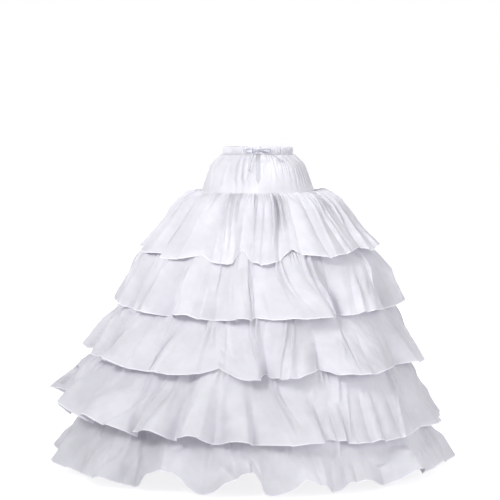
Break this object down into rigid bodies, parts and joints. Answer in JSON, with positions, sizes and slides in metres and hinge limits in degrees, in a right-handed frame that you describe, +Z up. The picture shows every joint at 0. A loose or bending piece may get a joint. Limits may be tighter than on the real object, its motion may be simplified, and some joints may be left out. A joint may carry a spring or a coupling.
{
  "type": "ruffled hoop petticoat",
  "caption": "Full-length white hoop petticoat with a drawstring waist, gathered yoke and tiers of fluted ruffles over a hooped foundation skirt",
  "frame": {"origin": "centre of the waist opening, at the level of the waistband's top edge", "axes": "+Z up along the waist opening's axis, -Y to the front where the bow and the placket are, +X to the viewer's right as seen from the front"},
  "size_m": [1.2876, 1.2607, 1.0164],
  "materials": {
    "cloth": "crisp white taffeta with a soft sheen, slightly sheer",
    "lining": "plain white lining, matte",
    "tape": "white woven tape",
    "cord": "white braided cord",
    "hoop_steel": "white coated spring steel",
    "joiner": "crimped brass sleeve"
  },
  "bodies": {
    "root": {"waistband": "cloth", "drawstring": "cord", "yoke": "cloth", "placket_facing": "cloth", "foundation_skirt": "lining", "ruffle_1": "cloth", "ruffle_2": "cloth", "ruffle_3": "cloth", "ruffle_4": "cloth", "ruffle_5": "cloth", "hoop_1": "hoop_steel", "hoop_2": "hoop_steel", "hoop_3": "hoop_steel", "hoop_4": "hoop_steel", "hoop_joiner_1": "joiner", "hoop_joiner_2": "joiner", "hoop_joiner_3": "joiner", "hoop_joiner_4": "joiner", "hoop_casing_1": "tape", "hoop_casing_2": "tape", "hoop_casing_3": "tape", "hoop_casing_4": "tape", "bow_knot": "cord", "bow_loop_left": "cord", "bow_loop_right": "cord", "bow_tail_left": "cord", "bow_tail_right": "cord"}
  },
  "joints": []
}
